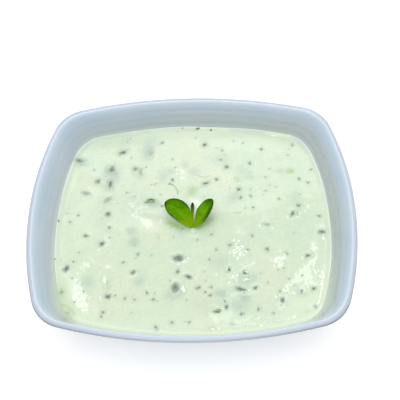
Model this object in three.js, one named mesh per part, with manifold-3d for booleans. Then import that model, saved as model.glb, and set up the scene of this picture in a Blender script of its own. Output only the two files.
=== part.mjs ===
// Tzatziki dip in its serving bowl: a rounded rectangular porcelain bowl, the dip that fills it to
// below the rim with its flakes of herb and cucumber, and a mint sprig standing in the middle.
// Millimetres, +Z up. The origin is on the table under the middle of the bowl; X runs along the bowl,
// Y across it.
import * as THREE from "three";
import { mergeVertices } from "three/addons/utils/BufferGeometryUtils.js";
import Module from "manifold-3d";

const wasm = await Module();
wasm.setup();

// ---- driving dimensions -------------------------------------------------------------------------

// The rim seen from above: four bowed sides, each an arc, joined by round corners.
const RIM = { halfLength: 80, halfWidth: 66, longSideRadius: 250, shortSideRadius: 150, corner: 18 };
const SHORT_SIDE_LEAN = 0.135; // how much more the short sides lean in, for each mm below the lip
const HEIGHT = 50;
const LIP_RADIUS = 1.5; // the rounded edge, so the wall is twice this thick at the rim
const FLOOR_TOP = 5.5; // the inside bottom
const RECESS_TOP = 2.4; // the unglazed recess inside the foot ring
const GAP = 0.3; // between solids that touch

// Wall profiles as [inset from the rim's outline, height], for the long sides.
const OUTER_WALL = [[22.4, 3], [15.5, 5.2], [9.8, 11], [6.3, 21], [4, 32], [1.7, 43], [0, 48.5]];
const INNER_WALL = [
  [3, 48.5], [3.9, 45.5], [5.3, 39.5], [7.1, 31.5], [9.2, 21], [13, 11.5], [21, 6.6], [31, FLOOR_TOP],
];
const FOOT_RING = [[27.6, RECESS_TOP], [26.6, 0.4], [26.1, 0], [23.4, 0], [22.9, 0.4]];

const FILL_LEVEL = 31; // the dip's surface at rest
const MENISCUS = 0.9; // how far the dip climbs the wall
const MENISCUS_REACH = 1.8; // how quickly that dies away from the wall

// Pieces that lie half sunk in the dip. The dip rises a little over each large one.
const PIECE_THICKNESS = 1.1;
const LUMP_HEIGHT = 0.12; // against the piece's width
const LUMP_REACH = 1.6; // past half the piece's length

// The large shreds and clumps, as [x, y, turn in degrees, length, width].
const LARGE_PIECES = [
  [-22.5, 12.8, 0, 6.2, 2.6], [24, -36.3, -20, 6, 2], [-39, 43, 22, 5, 2.2], [-7, -19.6, 5, 4.8, 3],
  [-62.4, 37.6, -15, 4.4, 2.4], [-44.5, 23, 85, 4.6, 2.2], [12.4, -46.8, 5, 4.6, 1.9],
  [-45, 13.6, 40, 4.6, 2], [-57, 17.6, -15, 4.4, 1.8], [-23.4, 42, 65, 4.4, 2.2],
  [-8.2, -35, 80, 4.2, 3.2], [-28.3, 31, 80, 4.2, 1.6], [66.3, -6, 0, 3.8, 2], [7, 23, 25, 3.6, 1.6],
  [-44.3, 32, 80, 3.4, 2.8], [-1.8, -29.4, -18, 3.4, 1.6], [38.2, -1.4, -5, 3.4, 1.4],
  [-46, -11.7, 0, 3, 2], [-63, -24.8, 75, 2.8, 1.9], [52, 4.6, 50, 2.8, 1.8], [58, -18.8, 10, 2.6, 1.4],
  [6.4, 47.3, 5, 2.6, 1.8], [-51.3, 24.8, 80, 2.5, 2], [43.8, -41.8, -50, 2.5, 1.9],
  [26, -27.8, 0, 2.5, 1.6], [-44.2, 5.2, 0, 2.4, 2], [18.3, -26, 75, 2.4, 1.8],
  [-54.8, -7.2, -5, 2.4, 1.4], [-41, -39.4, 10, 2.3, 1.8], [16.7, -45, 70, 2.3, 1.7],
  [18.3, 33.2, 10, 2.3, 1.7], [24.5, 19, 60, 2.2, 1.8], [31, -35.7, 0, 2.1, 1.5],
  [-29.5, -27, 20, 2.1, 1.6], [-31.5, 32.5, 0, 2, 1.6],
];

// The small flakes, as [x, y, length]; each is turned and tipped by a draw.
const FLAKES = [
  [-54, 32, 1.2], [-60, 4.8, 1.2], [-64, 1, 1.1], [-11, 25.5, 1.6], [-12.5, 23.5, 1.2], [-17.5, 49, 1.4],
  [-9.5, 33, 1.1], [-35.5, 18, 1.2], [-16.2, 9.8, 1.1], [37.8, 44.3, 1.8], [16, 43.8, 1.2],
  [15.2, 37.8, 1.8], [31, 35.5, 1.8], [12.7, 25.5, 2], [25.5, 14.3, 2], [30.8, 15.2, 1.2],
  [38.8, 18.2, 1.2], [31.7, 8.4, 1.8], [55.5, 9.2, 1.8], [57, 25, 1.8], [61.7, 22.6, 1.3],
  [63.9, 30.7, 1.3], [65.8, 3, 1.1], [45.5, 13.4, 1.2], [52, 40.3, 1.1], [55, 46.5, 1.1],
  [-43, -2.8, 1.8], [-34.7, -21.9, 1.4], [-7.2, -26.7, 1.8], [-22, -37.6, 1.6], [-53.3, -36.6, 1.3],
  [-43, -47.2, 1.2], [-43.4, -49.3, 1.1], [-9.4, -52.4, 1.2], [-1.2, -52.2, 1.2], [-17, -54.8, 2],
  [-60, -21, 1.2], [-27.5, -17.3, 1.2], [-32.5, -40.4, 1.2], [-28, -41, 1.1], [-19, -41, 1.1],
  [9.7, -7, 1.2], [30.5, -7.7, 1.2], [19.2, -12.8, 1.8], [24.2, -12.9, 1.2], [28, -15.3, 1.2],
  [38, -15, 2], [8.7, -20.4, 1.2], [54.3, -29.2, 1.2], [3.2, -35, 1.8], [6.6, -37.4, 1.2],
  [9, -39, 1.6], [42.8, -37.2, 1.2], [53.5, -37.5, 1.3], [59.3, -36, 2], [16.1, -42.2, 1.3],
  [59.4, -45, 1.3], [32, -46, 1.2], [39.2, -48, 1.2], [23.8, -48.3, 1.2],
];
const FLAKE_SLIMNESS = 0.72; // width against length

// The sprig: its shoot leans back from where it stands, and two leaves spread from its foot. A leaf's
// midrib is a quadratic curve from its base by way of the bend to its tip.
const SPRIG_FOOT = new THREE.Vector3(-0.1, -2.9, FILL_LEVEL);
const SHOOT = { sunk: 4, radius: 0.85, tipRadius: 0.6, tip: new THREE.Vector3(0.3, 6.7, 40) };
const LEAF_THICKNESS = 0.5;
const LEFT_LEAF = {
  base: new THREE.Vector3(-0.8, -3.4, 31.7),
  bend: new THREE.Vector3(-5.3, 7.2, 36.5),
  tip: new THREE.Vector3(-14.1, 7.1, 39.1),
  halfWidth: 5.6, roll: -26, widest: 1.22, fullness: 0.52, fold: 0.07, wave: 0.35, waveShift: 0.7,
};
const RIGHT_LEAF = {
  base: new THREE.Vector3(0.7, -3.1, 31.7),
  bend: new THREE.Vector3(7.7, 1.2, 37.5),
  tip: new THREE.Vector3(9.9, 9.3, 39.7),
  halfWidth: 4.7, roll: -45, widest: 1.34, fullness: 0.45, fold: 0.37, wave: 0.3, waveShift: 2.4,
};
const VIEW_SIDE = new THREE.Vector3(0, -0.45, 0.89); // the side that both leaves turn their faces to

// How finely the surfaces are split.
const CORNER_STEPS = 6;
const SHORT_SIDE_STEPS = 3;
const LONG_SIDE_STEPS = 4;
const WALL_STEPS = 12;
const LIP_STEPS = 6;
const SURFACE_RINGS = 16;
const LEAF_LENGTH_STEPS = 12;
const LEAF_WIDTH_STEPS = 8;
const SHOOT_STEPS = 10;
const SHOOT_SIDES = 10;

// ---- solids from three.js geometry --------------------------------------------------------------

function solidOf(geometry) {
  const bare = new THREE.BufferGeometry().setAttribute("position", geometry.getAttribute("position"));
  if (geometry.index) bare.setIndex(geometry.index);
  const merged = mergeVertices(bare, 1e-4);
  const mesh = new wasm.Mesh({
    numProp: 3,
    vertProperties: merged.attributes.position.array,
    triVerts: new Uint32Array(merged.index.array),
  });
  return new wasm.Manifold(mesh);
}

function geometryOf(solid) {
  const mesh = solid.getMesh();
  return new THREE.BufferGeometry()
    .setAttribute("position", new THREE.BufferAttribute(mesh.vertProperties, 3))
    .setIndex(new THREE.BufferAttribute(mesh.triVerts, 1));
}

// A closed skin: a fan from the first point to the first ring, bands from ring to ring, and a fan from
// the last ring to the last point. Rings run anticlockwise seen from outside the last point.
function closedSkin(firstPoint, rings, lastPoint) {
  const sides = rings[0].length;
  const points = [firstPoint, ...rings.flat(), lastPoint];
  const last = points.length - 1;
  const at = (ring, side) => 1 + ring * sides + (side % sides);
  const faces = [];
  for (let side = 0; side < sides; side++) {
    faces.push(0, at(0, side + 1), at(0, side));
    for (let ring = 0; ring + 1 < rings.length; ring++) {
      faces.push(at(ring, side), at(ring, side + 1), at(ring + 1, side + 1));
      faces.push(at(ring, side), at(ring + 1, side + 1), at(ring + 1, side));
    }
    faces.push(last, at(rings.length - 1, side), at(rings.length - 1, side + 1));
  }
  return new THREE.BufferGeometry().setFromPoints(points).setIndex(faces);
}

// ---- the bowl's outline and profile -------------------------------------------------------------

// Where the circle of `radius` touches two larger circles from inside: its own centre.
function cornerCentre(longCentre, longRadius, shortCentre, shortRadius, radius) {
  const reachLong = longRadius - radius;
  const reachShort = shortRadius - radius;
  const between = shortCentre.clone().sub(longCentre);
  const span = between.length();
  const along = (reachLong ** 2 - reachShort ** 2 + span ** 2) / (2 * span);
  const aside = Math.sqrt(reachLong ** 2 - along ** 2);
  const unit = between.divideScalar(span);
  const normal = new THREE.Vector2(unit.y, -unit.x);
  return longCentre.clone().addScaledVector(unit, along).addScaledVector(normal, aside);
}

// The rim's outline moved in by `inset`, and the short sides by `lean` more, anticlockwise from the
// middle of the right-hand side.
function outline(inset, lean) {
  const longRadius = RIM.longSideRadius - inset;
  const shortRadius = RIM.shortSideRadius - inset - lean;
  const longCentre = new THREE.Vector2(0, RIM.halfWidth - RIM.longSideRadius);
  const shortCentre = new THREE.Vector2(RIM.halfLength - RIM.shortSideRadius, 0);
  const corner = cornerCentre(longCentre, longRadius, shortCentre, shortRadius, RIM.corner);
  const shortEnd = corner.clone().sub(shortCentre).angle();
  const longStart = corner.clone().sub(longCentre).angle();
  const arc = (centre, radius, from, to, steps) =>
    new THREE.EllipseCurve(centre.x, centre.y, radius, radius, from, to).getPoints(steps);
  const quarter = [
    ...arc(shortCentre, shortRadius, 0, shortEnd, SHORT_SIDE_STEPS),
    ...arc(corner, RIM.corner, shortEnd, longStart, CORNER_STEPS).slice(1),
    ...arc(longCentre, longRadius, longStart, Math.PI / 2, LONG_SIDE_STEPS).slice(1),
  ];
  const mirrored = (points, x, y) => points.map((p) => new THREE.Vector2(p.x * x, p.y * y));
  return [
    ...quarter,
    ...mirrored(quarter, -1, 1).reverse().slice(1),
    ...mirrored(quarter, -1, -1).slice(1),
    ...mirrored(quarter, 1, -1).reverse().slice(1, -1),
  ];
}

function ringAt([inset, height]) {
  const lean = SHORT_SIDE_LEAN * Math.max(HEIGHT - LIP_RADIUS - height, 0);
  return outline(inset, lean).map((p) => new THREE.Vector3(p.x, p.y, height));
}

// A flat disc as rings that are shares of the ring round it.
function discRings([inset, height], shares) {
  const shrunk = (share) => ringAt([inset, height]).map((p) => p.setX(p.x * share).setY(p.y * share));
  return shares.map(shrunk);
}

function splinePoints(stations, steps) {
  const curve = new THREE.SplineCurve(stations.map((station) => new THREE.Vector2(...station)));
  return curve.getPoints(steps).map((p) => [p.x, p.y]);
}

function lipPoints() {
  const centre = [LIP_RADIUS, HEIGHT - LIP_RADIUS];
  const curve = new THREE.EllipseCurve(...centre, LIP_RADIUS, LIP_RADIUS, Math.PI, 0, true);
  return curve.getPoints(LIP_STEPS).slice(1, -1).map((p) => [p.x, p.y]);
}

function makeBowl() {
  const rings = [
    ...discRings(FOOT_RING[0], [0.5]),
    ...FOOT_RING.map(ringAt),
    ...splinePoints(OUTER_WALL, WALL_STEPS).map(ringAt),
    ...lipPoints().map(ringAt),
    ...splinePoints(INNER_WALL, WALL_STEPS).map(ringAt),
    ...discRings(INNER_WALL.at(-1), [0.5]),
  ];
  return closedSkin(new THREE.Vector3(0, 0, RECESS_TOP), rings, new THREE.Vector3(0, 0, FLOOR_TOP));
}

// ---- the dip ------------------------------------------------------------------------------------

// A repeatable draw between 0 and 1 for piece `index`, one for each `kind` of draw.
function draw(index, kind) {
  const wave = Math.sin(index * 12.9898 + kind * 78.233) * 43758.5453;
  return wave - Math.floor(wave);
}

// The dip's height away from the wall: the level, a slow swell, and a rise over each large piece.
function surfaceHeight(x, y) {
  const swell = 0.22 * Math.sin(x / 9.5 + y / 21) + 0.18 * Math.sin(y / 8 - x / 26 + 1.3);
  let lumps = 0;
  for (const [px, py, , length, width] of LARGE_PIECES) {
    const reach = length / 2 + LUMP_REACH;
    lumps += LUMP_HEIGHT * width * Math.exp(-((x - px) ** 2 + (y - py) ** 2) / reach ** 2);
  }
  return FILL_LEVEL + swell + lumps;
}

// The inner wall's inset at a height, read off its spline.
function wallInset(height) {
  const stations = splinePoints(INNER_WALL, 200);
  const below = stations.findIndex(([, z]) => z <= height);
  const [insetAbove, zAbove] = stations[below - 1];
  const [insetBelow, zBelow] = stations[below];
  return insetAbove + ((insetBelow - insetAbove) * (zAbove - height)) / (zAbove - zBelow);
}

// The dip without its pieces: the bowl's inside less a gap, and the surface as closing rings.
function makeDipBody() {
  const floor = [INNER_WALL.at(-1)[0], FLOOR_TOP + GAP];
  const heights = [6.4, 8.5, 13, 21, FILL_LEVEL + MENISCUS];
  const side = heights.map((height) => ringAt([wallInset(height - GAP) + GAP, height]));
  const edge = side.at(-1);
  const surface = [];
  for (let ring = 1; ring < SURFACE_RINGS; ring++) {
    const share = 1 - (ring / SURFACE_RINGS) ** 1.5;
    surface.push(
      edge.map((p) => {
        const x = p.x * share;
        const y = p.y * share;
        const fromWall = Math.hypot(p.x - x, p.y - y);
        const climb = MENISCUS * Math.exp(-fromWall / MENISCUS_REACH);
        return new THREE.Vector3(x, y, surfaceHeight(x, y) + climb);
      }),
    );
  }
  const rings = [...discRings(floor, [0.5, 1]), ...side, ...surface];
  const bottom = new THREE.Vector3(0, 0, floor[1]);
  return solidOf(closedSkin(bottom, rings, new THREE.Vector3(0, 0, surfaceHeight(0, 0))));
}

// One piece: an icosahedron flattened to its size, turned and tipped, half sunk in the dip.
function makePiece(x, y, turn, tip, length, width) {
  const piece = new THREE.IcosahedronGeometry(1, 0).scale(length / 2, width / 2, PIECE_THICKNESS / 2);
  piece.rotateX(tip).rotateZ(turn).translate(x, y, surfaceHeight(x, y) + PIECE_THICKNESS / 8);
  return solidOf(piece);
}

function makeLargePieces() {
  return LARGE_PIECES.map(([x, y, turn, length, width], index) =>
    makePiece(x, y, THREE.MathUtils.degToRad(turn), 0.3 * (draw(index, 6) - 0.5), length, width),
  );
}

function makeFlakes() {
  return FLAKES.map(([x, y, length], index) => {
    const turn = Math.PI * draw(index, 4);
    return makePiece(x, y, turn, 0.4 * (draw(index, 5) - 0.5), length, length * FLAKE_SLIMNESS);
  });
}

// ---- the mint sprig -----------------------------------------------------------------------------

// A leaf blade as two like grids, one for each face, closed round the edge. It is folded along the
// midrib and waved at the margin; `margin` grows the whole leaf for cutting its socket.
function makeLeaf(leaf, margin = 0) {
  const midrib = new THREE.QuadraticBezierCurve3(leaf.base, leaf.bend, leaf.tip);
  const halfThickness = LEAF_THICKNESS / 2 + margin;
  const point = (u, v, side) => {
    const along = midrib.getTangent(u);
    const sideways = along.clone().cross(VIEW_SIDE).normalize();
    sideways.applyAxisAngle(along, THREE.MathUtils.degToRad(leaf.roll));
    const face = sideways.clone().cross(along).normalize();
    const bulge = Math.max(Math.sin(Math.PI * u ** leaf.widest), 0) ** leaf.fullness;
    const half = Math.max(leaf.halfWidth * bulge, 0.35) + margin;
    const wave = leaf.wave * v * v * bulge * Math.sin(9 * u + leaf.waveShift * Math.sign(v));
    return midrib
      .getPoint(u)
      .addScaledVector(along, (2 * u - 1) * margin)
      .addScaledVector(sideways, v * half)
      .addScaledVector(face, leaf.fold * Math.abs(v) * half + wave + side * halfThickness);
  };
  const rings = [];
  for (let i = 0; i <= LEAF_LENGTH_STEPS; i++) {
    const u = i / LEAF_LENGTH_STEPS;
    const across = Array.from({ length: LEAF_WIDTH_STEPS + 1 }, (_, j) => (2 * j) / LEAF_WIDTH_STEPS - 1);
    const upper = across.map((v) => point(u, v, 1));
    const lower = across.map((v) => point(u, v, -1)).reverse();
    rings.push([...upper, ...lower]);
  }
  return solidOf(closedSkin(point(0, 0, 0), rings, point(1, 0, 0)));
}

// The shoot: round rings along a curve from under the surface to the bud at its tip.
function makeShoot(margin = 0) {
  const foot = SPRIG_FOOT.clone();
  const curve = new THREE.CatmullRomCurve3([
    foot.clone().add(new THREE.Vector3(0, -0.4, -SHOOT.sunk - margin)),
    foot,
    foot.clone().lerp(SHOOT.tip, 0.45).add(new THREE.Vector3(0, -0.5, 0.9)),
    SHOOT.tip,
  ]);
  const frames = curve.computeFrenetFrames(SHOOT_STEPS, false);
  const rings = [];
  for (let step = 0; step <= SHOOT_STEPS; step++) {
    const share = step / SHOOT_STEPS;
    const bud = 0.3 * Math.exp(-(((share - 0.86) / 0.1) ** 2));
    const radius = THREE.MathUtils.lerp(SHOOT.radius, SHOOT.tipRadius, share) + bud + margin;
    const ring = [];
    for (let side = 0; side < SHOOT_SIDES; side++) {
      const angle = (2 * Math.PI * side) / SHOOT_SIDES;
      const offset = frames.normals[step].clone().multiplyScalar(Math.cos(angle) * radius);
      offset.addScaledVector(frames.binormals[step], Math.sin(angle) * radius);
      ring.push(curve.getPointAt(share).add(offset));
    }
    rings.push(ring);
  }
  const tip = SHOOT.tip.clone().addScaledVector(frames.tangents[SHOOT_STEPS], 0.6 + margin);
  return solidOf(closedSkin(curve.getPointAt(0), rings, tip));
}

function makeSprig(margin = 0) {
  return makeShoot(margin).add(makeLeaf(LEFT_LEAF, margin)).add(makeLeaf(RIGHT_LEAF, margin));
}

// The dip with its pieces fused on and a socket round the sprig's foot, without loose scraps.
function makeDip() {
  const pieces = [...makeLargePieces(), ...makeFlakes()];
  const whole = pieces.reduce((dip, piece) => dip.add(piece), makeDipBody()).subtract(makeSprig(GAP));
  return whole.decompose().reduce((most, body) => (body.volume() > most.volume() ? body : most));
}

// ---- the scene graph ----------------------------------------------------------------------------

const porcelain = new THREE.MeshStandardMaterial({ color: 0xc9d6e0, roughness: 0.15, metalness: 0 });
const yoghurt = new THREE.MeshStandardMaterial({ color: 0xdcebd0, roughness: 0.35, metalness: 0 });
const mintGreen = new THREE.MeshStandardMaterial({ color: 0x4a8a0c, roughness: 0.45, metalness: 0 });

function named(name, geometry, material) {
  const mesh = new THREE.Mesh(geometry, material);
  mesh.name = name;
  return mesh;
}

const tzatziki = new THREE.Group();
tzatziki.add(
  named("serving_bowl", makeBowl(), porcelain),
  named("tzatziki_dip", geometryOf(makeDip()), yoghurt),
  named("mint_sprig", geometryOf(makeSprig()), mintGreen),
);
export default tzatziki;
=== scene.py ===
"""Tzatziki in a glazed porcelain bowl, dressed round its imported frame.

Lengths are worked out in millimetres in the frame's own axes and turned to metres where a mesh is
made. The bowl's outline, its wall, the dip's surface and the places of its pieces follow the same
rules as the solids, with finer surfaces.
"""
import math

import bpy
import numpy as np
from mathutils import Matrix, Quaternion, Vector


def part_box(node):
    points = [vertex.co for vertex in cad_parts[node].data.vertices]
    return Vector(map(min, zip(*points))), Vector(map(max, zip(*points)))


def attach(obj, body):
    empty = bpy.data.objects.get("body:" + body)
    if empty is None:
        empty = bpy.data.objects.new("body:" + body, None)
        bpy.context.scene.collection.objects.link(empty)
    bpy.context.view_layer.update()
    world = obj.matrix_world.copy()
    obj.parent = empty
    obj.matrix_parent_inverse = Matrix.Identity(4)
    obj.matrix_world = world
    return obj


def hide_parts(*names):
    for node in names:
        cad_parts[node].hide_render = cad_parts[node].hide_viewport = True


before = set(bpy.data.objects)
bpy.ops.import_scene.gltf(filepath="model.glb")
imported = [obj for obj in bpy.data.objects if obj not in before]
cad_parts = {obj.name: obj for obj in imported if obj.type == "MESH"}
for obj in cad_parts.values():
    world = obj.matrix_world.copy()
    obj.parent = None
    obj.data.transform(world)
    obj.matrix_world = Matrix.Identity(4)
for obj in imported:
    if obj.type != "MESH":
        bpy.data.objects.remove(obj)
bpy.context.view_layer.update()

MM = 0.001

# ---- the bowl, in millimetres ----

_, bowl_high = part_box("serving_bowl")
HALF_LENGTH, HALF_WIDTH, HEIGHT = np.array(bowl_high) / MM
LONG_SIDE_RADIUS = 250.0  # the bow of the two long sides, at the rim
SHORT_SIDE_RADIUS = 150.0  # the bow of the two short sides
CORNER_RADIUS = 18.0
LIP_RADIUS = 1.5
SHORT_SIDE_LEAN = 0.135  # how much more the short sides lean in, for each mm below the lip
FLOOR_TOP = 5.5
RECESS_TOP = 2.4
BARE_FOOT = 0.2  # how far up the foot ring is left unglazed

# Profiles of the long sides as (inset from the rim's outline, height).
OUTER_WALL = [(22.4, 3), (15.5, 5.2), (9.8, 11), (6.3, 21), (4, 32), (1.7, 43), (0, 48.5)]
INNER_WALL = [
    (3, 48.5), (3.9, 45.5), (5.3, 39.5), (7.1, 31.5), (9.2, 21), (13, 11.5), (21, 6.6), (31, FLOOR_TOP),
]
FOOT_RING = [(27.6, RECESS_TOP), (26.9, 0.7), (26.1, 0), (23.4, 0), (22.7, 0.7), (22.4, 3)]

# Where a quarter's three stretches end, as shares of it: short-side arc, corner, long-side arc.
SHORT_SIDE_END = 0.38
CORNER_END = 0.6
NEAR_CORNERS = (2.45, 3.55)  # how many quarters round from the middle of the right-hand side
BOWL_SIDES = 360
LIP_STEPS = 16

# ---- the dip ----

FILL_LEVEL = 31.0
MENISCUS = 0.9  # how far the dip climbs the wall
MENISCUS_REACH = 1.8  # how quickly that dies away from the wall
EDGE_IN_WALL = 0.5  # how far the surface runs on into the wall
SIDE_IN_WALL = 0.15  # how far the closed side below it does
DIP_GRID = (330, 270)  # points along its length and its width
DIP_SIDE = np.array([28, 21, 14, 9.5, 7, 6.1])[:, None]  # heights of the rings that close it
BEAD_HEIGHT = 0.35
LUMP_HEIGHT = 0.12  # the rise over a large piece, against the piece's width
LUMP_REACH = 1.6  # past half the piece's length

# Ripples as (height, number of waves, shortest, longest, number of the draw).
LEFT_RIPPLES = (0.06, 9, 12, 28, 36465)
RIGHT_RIPPLES = (0.045, 9, 9, 22, 24391)
CURD_GRAIN = (0.005, 28, 2.4, 6, 36)
RUFFLE_GRAIN = (0.02, 28, 1.7, 4, 38)
BEADED_STRETCHES = (1, 7, 25, 60, 33)
RAGGED_ALONG = (0.3, 16, 1.3, 4, 34)
RAGGED_ACROSS = (0.3, 16, 1.3, 4, 35)

# From here on a row of a flat piece or patch is (x, y, turn in degrees, length, width), and where it
# has a sixth number that is its strength.
# Where the surface is ruffled.
RUFFLES = np.array([
    (23.6, -14.3, 0, 13, 8, 1.6), (-31, 8.5, -35, 8, 5, 3), (-56, -35, -60, 18, 7, 0.4),
    (21, -30, 0, 7, 5, 2), (30, -22.5, 0, 4, 3, 2), (46, -40, 0, 5, 5, 2), (47, 14.4, 40, 6, 3, 2),
    (16, -38, 0, 5, 3, 2), (62.5, -31, 85, 14, 3, 1.5), (45, -21.5, 0, 8, 7, 0.8),
    (26, -53.5, 8, 26, 4, 6),
])
# Two low mounds of curd and a hollow that a spoon left; the sixth number is their height.
MOUNDS = np.array([
    (23.5, -10, 0, 12, 12, 0.28), (-21.9, 5.7, -14, 14.7, 5, 0.18), (-22.4, 7.5, -71, 32, 9.4, -0.26),
])

# The large shreds and clumps.
LARGE_PIECES = np.array([
    (-22.5, 12.8, 0, 6.2, 2.6), (24, -36.3, -20, 6, 2), (-39, 43, 22, 5, 2.2), (-7, -19.6, 5, 4.8, 3),
    (-62.4, 37.6, -15, 4.4, 2.4), (-44.5, 23, 85, 4.6, 2.2), (12.4, -46.8, 185, 4.6, 1.9),
    (-45, 13.6, 40, 4.6, 2), (-57, 17.6, -15, 4.4, 1.8), (-23.4, 42, 65, 4.4, 2.2),
    (-8.2, -35, 80, 4.2, 3.2), (-28.3, 31, 80, 4.2, 1.6), (66.3, -6, 0, 3.8, 2), (7, 23, 25, 3.6, 1.6),
    (-44.3, 32, 80, 3.4, 2.8), (-1.8, -29.4, -18, 3.4, 1.6), (38.2, -1.4, -5, 3.4, 1.4),
    (-46, -11.7, 0, 3, 2), (-63, -24.8, 75, 2.8, 1.9), (52, 4.6, 50, 2.8, 1.8), (58, -18.8, 10, 2.6, 1.4),
    (6.4, 47.3, 5, 2.6, 1.8), (-51.3, 24.8, 80, 2.5, 2), (43.8, -41.8, -50, 2.5, 1.9),
    (26, -27.8, 0, 2.5, 1.6), (-44.2, 5.2, 0, 2.4, 2), (18.3, -26, 75, 2.4, 1.8),
    (-54.8, -7.2, -5, 2.4, 1.4), (-41, -39.4, 10, 2.3, 1.8), (16.7, -45, 70, 2.3, 1.7),
    (18.3, 33.2, 10, 2.3, 1.7), (24.5, 19, 60, 2.2, 1.8), (31, -35.7, 0, 2.1, 1.5),
    (-29.5, -27, 20, 2.1, 1.6), (-31.5, 32.5, 0, 2, 1.6),
])
CUCUMBER = [0, 6]  # which of them show green cucumber skin
DARK_PIECES = [3, 10, 14, 18, 25, 28]
# Which of them lie just under the surface and only tint it, and how strongly each of those shows.
FAINT_PIECES = {7: 0.55, 8: 0.5, 9: 0.4, 11: 0.4, 16: 0.4, 22: 0.9, 33: 0.7, 34: 0.8}
PIECE_THICKNESS = 1.1

# The small flakes, as (x, y, length); each is turned by a draw.
FLAKES = np.array([
    (-54, 32, 1.2), (-60, 4.8, 1.2), (-64, 1, 1.1), (-11, 25.5, 1.6), (-12.5, 23.5, 1.2), (-17.5, 49, 1.4),
    (-9.5, 33, 1.1), (-35.5, 18, 1.2), (-16.2, 9.8, 1.1), (37.8, 44.3, 1.8), (16, 43.8, 1.2),
    (15.2, 37.8, 1.8), (31, 35.5, 1.8), (12.7, 25.5, 2), (25.5, 14.3, 2), (30.8, 15.2, 1.2),
    (38.8, 18.2, 1.2), (31.7, 8.4, 1.8), (55.5, 9.2, 1.8), (57, 25, 1.8), (61.7, 22.6, 1.3),
    (63.9, 30.7, 1.3), (65.8, 3, 1.1), (45.5, 13.4, 1.2), (52, 40.3, 1.1), (55, 46.5, 1.1),
    (-43, -2.8, 1.8), (-34.7, -21.9, 1.4), (-7.2, -26.7, 1.8), (-22, -37.6, 1.6), (-53.3, -36.6, 1.3),
    (-43, -47.2, 1.2), (-43.4, -49.3, 1.1), (-9.4, -52.4, 1.2), (-1.2, -52.2, 1.2), (-17, -54.8, 2),
    (-60, -21, 1.2), (-27.5, -17.3, 1.2), (-32.5, -40.4, 1.2), (-28, -41, 1.1), (-19, -41, 1.1),
    (9.7, -7, 1.2), (30.5, -7.7, 1.2), (19.2, -12.8, 1.8), (24.2, -12.9, 1.2), (28, -15.3, 1.2),
    (38, -15, 2), (8.7, -20.4, 1.2), (54.3, -29.2, 1.2), (3.2, -35, 1.8), (6.6, -37.4, 1.2),
    (9, -39, 1.6), (42.8, -37.2, 1.2), (53.5, -37.5, 1.3), (59.3, -36, 2), (16.1, -42.2, 1.3),
    (59.4, -45, 1.3), (32, -46, 1.2), (39.2, -48, 1.2), (23.8, -48.3, 1.2), (-64.1, -37.1, 1.1),
    (-62.8, -43.7, 1.5), (-59.2, -47.4, 1.2),
])
FLAKE_SLIMNESS = 0.72  # width against length
SPECK_COUNT = 100
SPECK_SHORTEST = 0.4
SPECK_LONGEST = 0.9
SPECK_SLIMNESS = 0.8
# A herb scrap's outline swells past its ellipse, so its length and width are made smaller.
SHRUNK = np.array([1, 1, 1, 0.75, 0.75])

# Bits caught at the very edge of the dip.
EDGE_BITS = np.array([
    (-70.2, 12, 80, 1.3, 0.9), (-70.3, 1.5, 80, 2.2, 1.3), (-69.2, -20, 80, 1.6, 1),
    (2.6, 57.9, 10, 2.2, 1.3), (10, 57, 0, 1.4, 0.9), (-6, 58.2, 0, 0.9, 0.7),
])
# Fine threads of dill that lie in the surface: each its route, its radius and how dried it is.
THREADS = [
    ([(-13.6, 22.6), (-11.2, 22.7), (-9.2, 20.9), (-8.1, 18.6), (-8.2, 16.6)], 0.24, 0),
    ([(-30, 33.6), (-28.9, 31.4), (-28.6, 30.2), (-27.5, 28.4)], 0.2, 0),
    ([(2.6, 28.2), (4, 27.3), (6.6, 27), (8.4, 27.3), (9.4, 28.2)], 0.13, 1),
    ([(21.5, 5.5), (23.5, 5.1), (25.5, 5.6)], 0.12, 1),
]

# Grated cucumber wholly under the surface, which only tints it. The last row holds a painted shadow
# under the left leaf, and two broad patches that darken the dip left of the sprig and at the front.
SUNK_PIECES = np.array([
    (-25, 45, 70, 10, 5, 1.3), (-16, 28, 80, 7, 4, 0.9), (-62, 37, -15, 8, 4, 1.2),
    (-43.5, 26, 70, 14, 6, 1.3), (-31.5, -4.2, 0, 4.5, 3, 1.3), (-30, -10.5, 60, 4, 3.2, 1.3),
    (54.5, 15, 0, 5, 4, 0.8), (22, 14.5, 20, 7, 5, 1), (-52.5, -32, 20, 6, 3.5, 0.9),
    (14, -38, 0, 6, 2.2, 1.2), (26, -40.5, 0, 4, 3, 1.2), (53.5, -37.5, 0, 4, 3, 0.8),
    (30.5, 27, -15, 4.5, 2, 0.8), (0.5, 30.5, 0, 4, 2.4, 1), (-4.5, 34.5, 0, 3.4, 2.6, 0.8),
    (27, -31, 10, 9, 4, 1), (-8.5, -38, 20, 8, 4, 1.2), (-60, -48, -40, 6, 3, 0.8),
    (15, 38, 0, 9, 5, 0.7), (-20.5, 11.5, 0, 6, 3.4, 1.2), (22, -44, 0, 8, 4, 0.9),
    (26.5, 31.5, 0, 5, 4, 0.7), (-26, -31.8, 30, 4, 3, 1), (14, -22, 0, 10, 6, 0.6),
    (-47, 29, 80, 9, 4, 1), (-12, 31, 0, 3, 2, 1), (-32, 15, 0, 3, 2, 1), (47, 30.2, 0, 3, 2, 0.8),
    (-9, 0, -42, 17, 5, 1.3), (-34, 12, 15, 30, 26, 0.45), (8, -43, 0, 26, 10, 0.3),
])
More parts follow.
